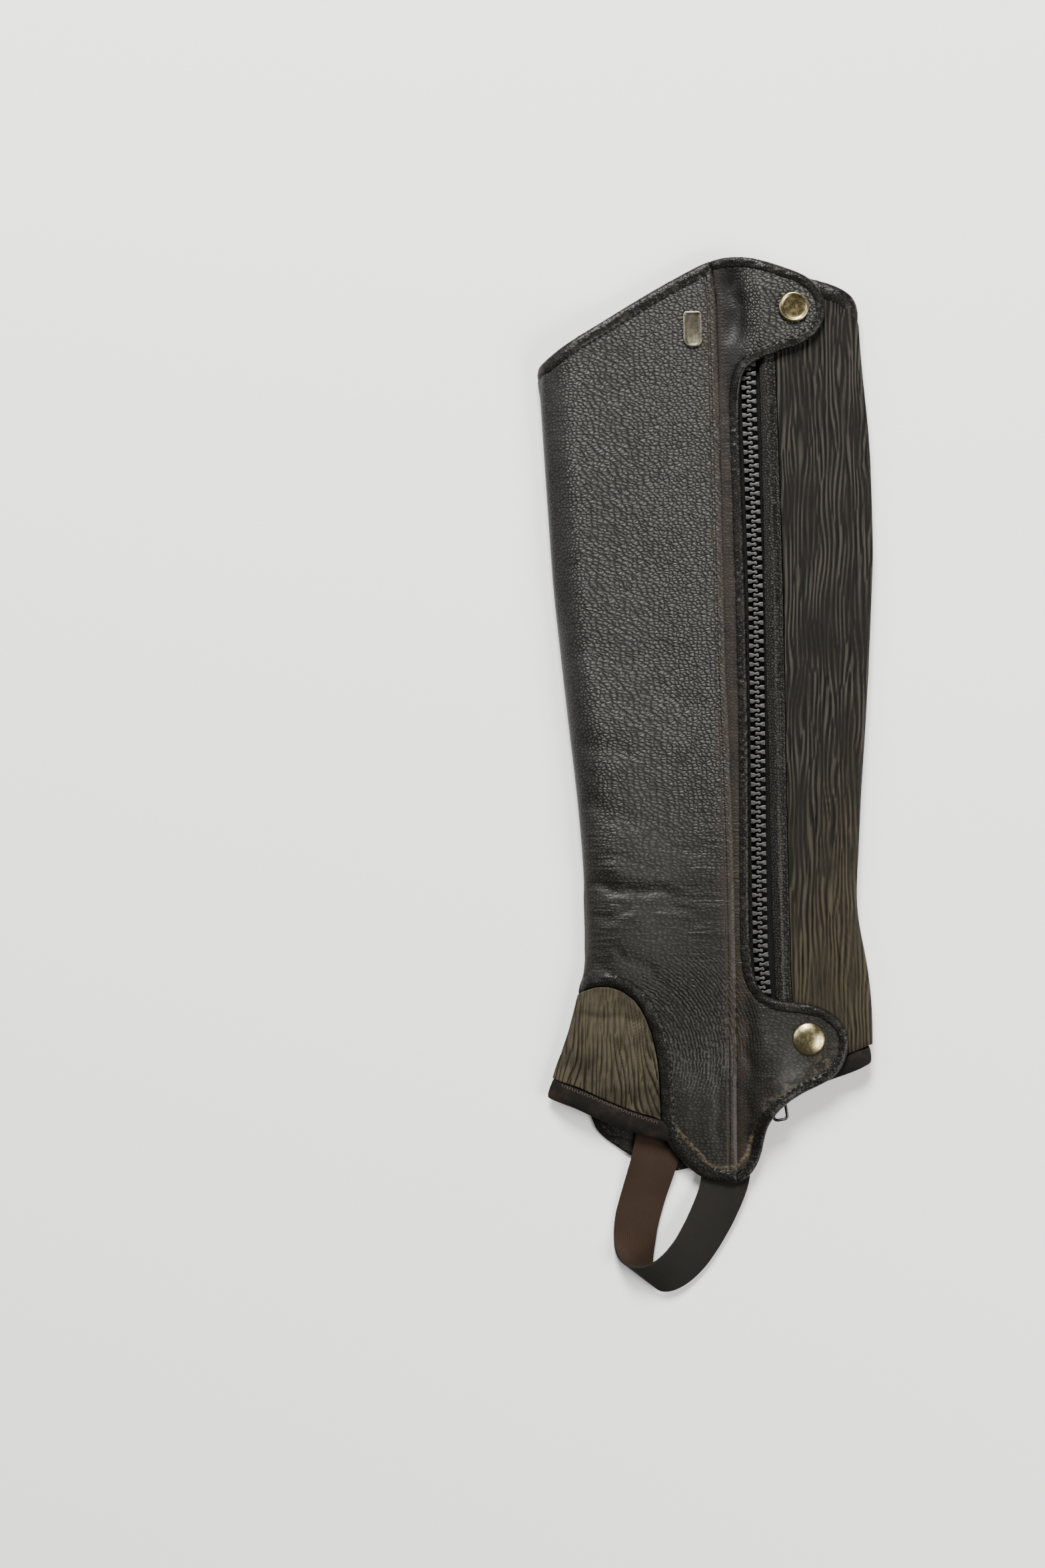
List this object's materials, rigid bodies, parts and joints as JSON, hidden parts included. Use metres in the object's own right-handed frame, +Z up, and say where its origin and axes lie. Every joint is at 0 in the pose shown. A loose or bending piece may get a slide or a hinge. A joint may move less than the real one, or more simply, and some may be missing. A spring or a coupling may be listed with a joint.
{
  "type": "half chap",
  "caption": "Leather half chap laid flat, with a zip, snapped tabs, ribbed stretch panels and an elastic stirrup strap.",
  "frame": {"origin": "centre of the half chap's plan box, on the surface it lies on", "axes": "+Z up, away from the surface; +Y towards the knee; -X towards the shin and +X towards the calf"},
  "size_m": [0.1646, 0.5061, 0.0182],
  "materials": {
    "leather": "worn pebbled black leather, satin, brown where rubbed",
    "binding": "smooth black leather binding, satin",
    "stretch": "ribbed stretch suede cloth, matt, dusty",
    "gusset": "ribbed stretch cloth, faded to khaki",
    "hem": "woven hem band, matt, worn reddish",
    "tape": "woven zip tape, matt black",
    "chain": "moulded zip teeth, dusty black",
    "dark_metal": "dark plated metal",
    "brass": "antique brass, worn",
    "plate": "antique pewter-toned plate",
    "elastic": "woven elastic webbing, black outside, brown inside"
  },
  "bodies": {
    "chap": {"leather_panel": "leather", "tab_strip": "leather", "zip_facing": "leather", "top_binding": "binding", "top_binding_back": "binding", "tab_binding": "binding", "arch_binding": "binding", "back_stretch_panel": "stretch", "instep_gusset": "gusset", "gusset_hem": "hem", "back_hem": "hem", "zip_tape_front": "tape", "zip_tape_back": "tape", "zip_chain": "chain", "zip_slider": "dark_metal", "snap_cap_top": "brass", "snap_cap_bottom": "brass", "snap_stud_top": "dark_metal", "snap_stud_bottom": "dark_metal", "badge_plate": "plate", "stirrup_elastic": "elastic"},
    "pull": {"zip_pull": "dark_metal"}
  },
  "joints": [
    {"name": "pull_swing", "type": "hinge", "parent": "chap", "child": "pull", "pos_m": [0.03218, -0.13955, 0.0131], "axis": [-0.987, -0.1608, 0], "range_deg": [0, 4]}
  ]
}
